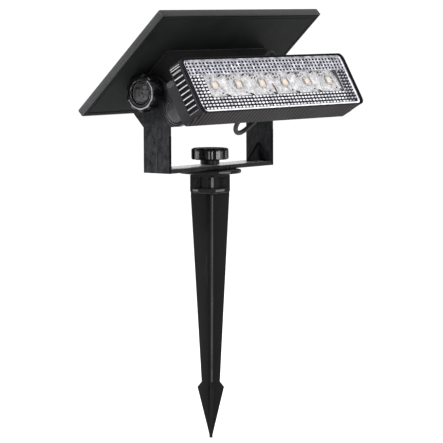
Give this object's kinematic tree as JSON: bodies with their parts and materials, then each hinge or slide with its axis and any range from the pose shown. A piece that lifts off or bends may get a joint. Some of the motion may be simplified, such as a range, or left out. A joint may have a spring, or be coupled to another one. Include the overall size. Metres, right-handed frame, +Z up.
{
  "type": "solar garden light",
  "caption": "Spike-mounted solar garden light: a tilting panel with battery housing and a tilting LED bar lamp share one swivelling U-bracket.",
  "frame": {"origin": "on the stake's axis at the soil line, the underside of the stake's square collar", "axes": "+Z up the stake, +X along both tilt axes, -Y towards the side the lamp lights"},
  "size_m": [0.194, 0.118, 0.3171],
  "materials": {
    "stake_plastic": "fine moulded grain",
    "knob_plastic": "satin moulded",
    "cap_plastic": "polished",
    "bracket_plastic": "fine moulded grain",
    "tray_plastic": "fine moulded grain",
    "housing_plastic": "fine moulded grain",
    "lamp_plastic": "fine moulded grain",
    "solar_silicon": "satin with thin silver lines",
    "clear_glass": "polished",
    "clear_lens": "polished, prismatic pattern inside",
    "black_rubber": "matt",
    "bright_steel": "zinc plated",
    "brass_insert": "turned",
    "battery_sleeve": "shrink sleeve",
    "black_holder": "moulded",
    "green_board": "solder mask",
    "white_board": "white solder mask",
    "led_phosphor": "yellow phosphor dome"
  },
  "bodies": {
    "stake": {"ground_stake": "stake_plastic", "stake_nut": "brass_insert", "swivel_disc": "stake_plastic"},
    "base_thumbscrew": {"base_knob": "knob_plastic", "base_stud": "bright_steel"},
    "bracket": {"u_bracket": "bracket_plastic", "lamp_lead": "black_rubber"},
    "panel": {"panel_tray": "tray_plastic", "solar_cells": "solar_silicon", "solar_glass": "clear_glass", "battery_housing": "housing_plastic", "housing_gasket": "black_rubber", "housing_screw_1": "bright_steel", "housing_screw_2": "bright_steel", "housing_screw_3": "bright_steel", "housing_screw_4": "bright_steel", "battery_cell": "battery_sleeve", "battery_holder": "black_holder", "battery_spring": "bright_steel", "battery_contact": "bright_steel", "control_board": "green_board", "push_switch": "black_holder", "panel_gland": "black_rubber", "panel_nut_left": "brass_insert", "panel_nut_right": "brass_insert"},
    "power_button": {"power_button": "black_rubber"},
    "left_thumbscrew": {"knob_left": "knob_plastic", "knob_stud_left": "bright_steel", "knob_cap_left": "cap_plastic"},
    "right_thumbscrew": {"knob_right": "knob_plastic", "knob_stud_right": "bright_steel", "knob_cap_right": "cap_plastic"},
    "lamp": {"lamp_housing": "lamp_plastic", "lamp_lens": "clear_lens", "lens_gasket": "black_rubber", "led_board": "white_board", "led_1": "led_phosphor", "led_2": "led_phosphor", "led_3": "led_phosphor", "led_4": "led_phosphor", "led_5": "led_phosphor", "led_6": "led_phosphor", "lamp_rear_cover": "lamp_plastic", "cover_screw_1": "bright_steel", "cover_screw_2": "bright_steel", "cover_screw_3": "bright_steel", "cover_screw_4": "bright_steel", "lamp_gland": "black_rubber", "lamp_bolt_left": "cap_plastic", "lamp_bolt_right": "cap_plastic", "lamp_nut_left": "bright_steel", "lamp_nut_right": "bright_steel"}
  },
  "joints": [
    {"name": "base_thumbscrew_turn", "type": "hinge", "parent": "stake", "child": "base_thumbscrew", "pos_m": [0, 0, 0.0205], "axis": [0, 0, 1], "continuous": true},
    {"name": "bracket_swivel", "type": "hinge", "parent": "stake", "child": "bracket", "pos_m": [0, 0, 0.0175], "axis": [0, 0, 1], "continuous": true},
    {"name": "panel_tilt", "type": "hinge", "parent": "bracket", "child": "panel", "pos_m": [0, 0.003, 0.0755], "axis": [-1, 0, 0], "range_deg": [-14, 28], "deforming": ["lamp_lead"]},
    {"name": "lamp_tilt", "type": "hinge", "parent": "bracket", "child": "lamp", "pos_m": [0, -0.019, 0.0622], "axis": [-1, 0, 0], "range_deg": [-75, 12], "deforming": ["lamp_lead"]},
    {"name": "left_thumbscrew_turn", "type": "hinge", "parent": "panel", "child": "left_thumbscrew", "pos_m": [-0.062, 0.003, 0.0755], "axis": [1, 0, 0], "continuous": true},
    {"name": "right_thumbscrew_turn", "type": "hinge", "parent": "panel", "child": "right_thumbscrew", "pos_m": [0.062, 0.003, 0.0755], "axis": [1, 0, 0], "continuous": true},
    {"name": "power_button_press", "type": "slide", "parent": "panel", "child": "power_button", "axis": [0, 0.6884, 0.7254], "range_m": [0, 0.0012], "stiffness_N_per_m": 300}
  ]
}
